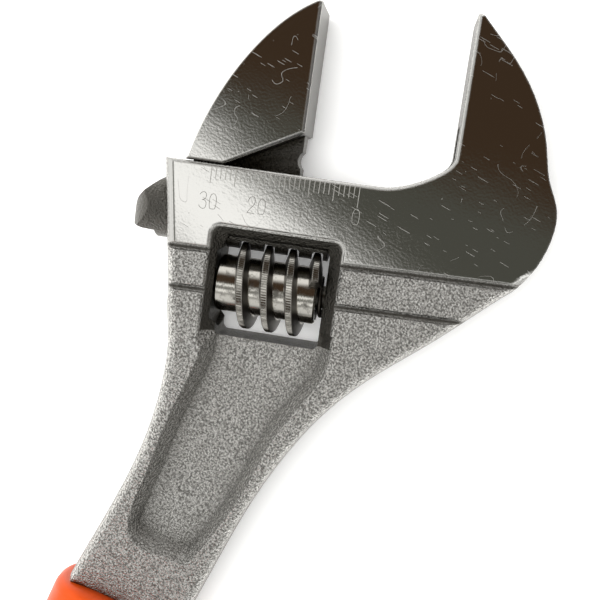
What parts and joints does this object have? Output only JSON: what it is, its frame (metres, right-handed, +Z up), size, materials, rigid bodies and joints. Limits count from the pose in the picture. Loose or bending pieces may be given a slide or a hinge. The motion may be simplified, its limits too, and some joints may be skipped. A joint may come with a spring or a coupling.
{
  "type": "adjustable wrench",
  "caption": "Adjustable wrench with a worm-driven sliding jaw, a forged chrome handle and a moulded grip with a hang hole.",
  "frame": {"origin": "centre of the footprint, on the plane the wrench lies on", "axes": "+Y along the handle towards the jaws, +Z up through the thickness, +X completes the right-handed frame"},
  "size_m": [0.0766, 0.2548, 0.0183],
  "materials": {
    "forged_chrome": "chrome plate, polished on the head and over an as-forged skin on the handle",
    "polished_jaw": "chrome plate over ground steel, fine scratches",
    "worm_steel": "turned and knurled, bright",
    "pin_steel": "turned, oiled",
    "spring_steel": "drawn wire, dark",
    "grip_plastic": "moulded, fine texture"
  },
  "bodies": {
    "wrench_body": {"body": "forged_chrome", "grip": "grip_plastic", "worm_pin": "pin_steel", "worm_spring": "spring_steel"},
    "sliding_jaw": {"movable_jaw": "polished_jaw"},
    "adjuster": {"worm": "worm_steel"}
  },
  "joints": [
    {"name": "jaw_slide", "type": "slide", "parent": "wrench_body", "child": "sliding_jaw", "axis": [0.9239, 0.3827, 0], "range_m": [-0.001, 0.02995]},
    {"name": "worm_turn", "type": "hinge", "parent": "wrench_body", "child": "adjuster", "pos_m": [-0.00539, 0.05915, 0.00913], "axis": [0.9239, 0.3827, 0], "range_deg": [-2120, 75]}
  ],
  "couplings": [
    {"joint": "worm_turn", "follows": "jaw_slide", "rad_per_m": -1232}
  ]
}
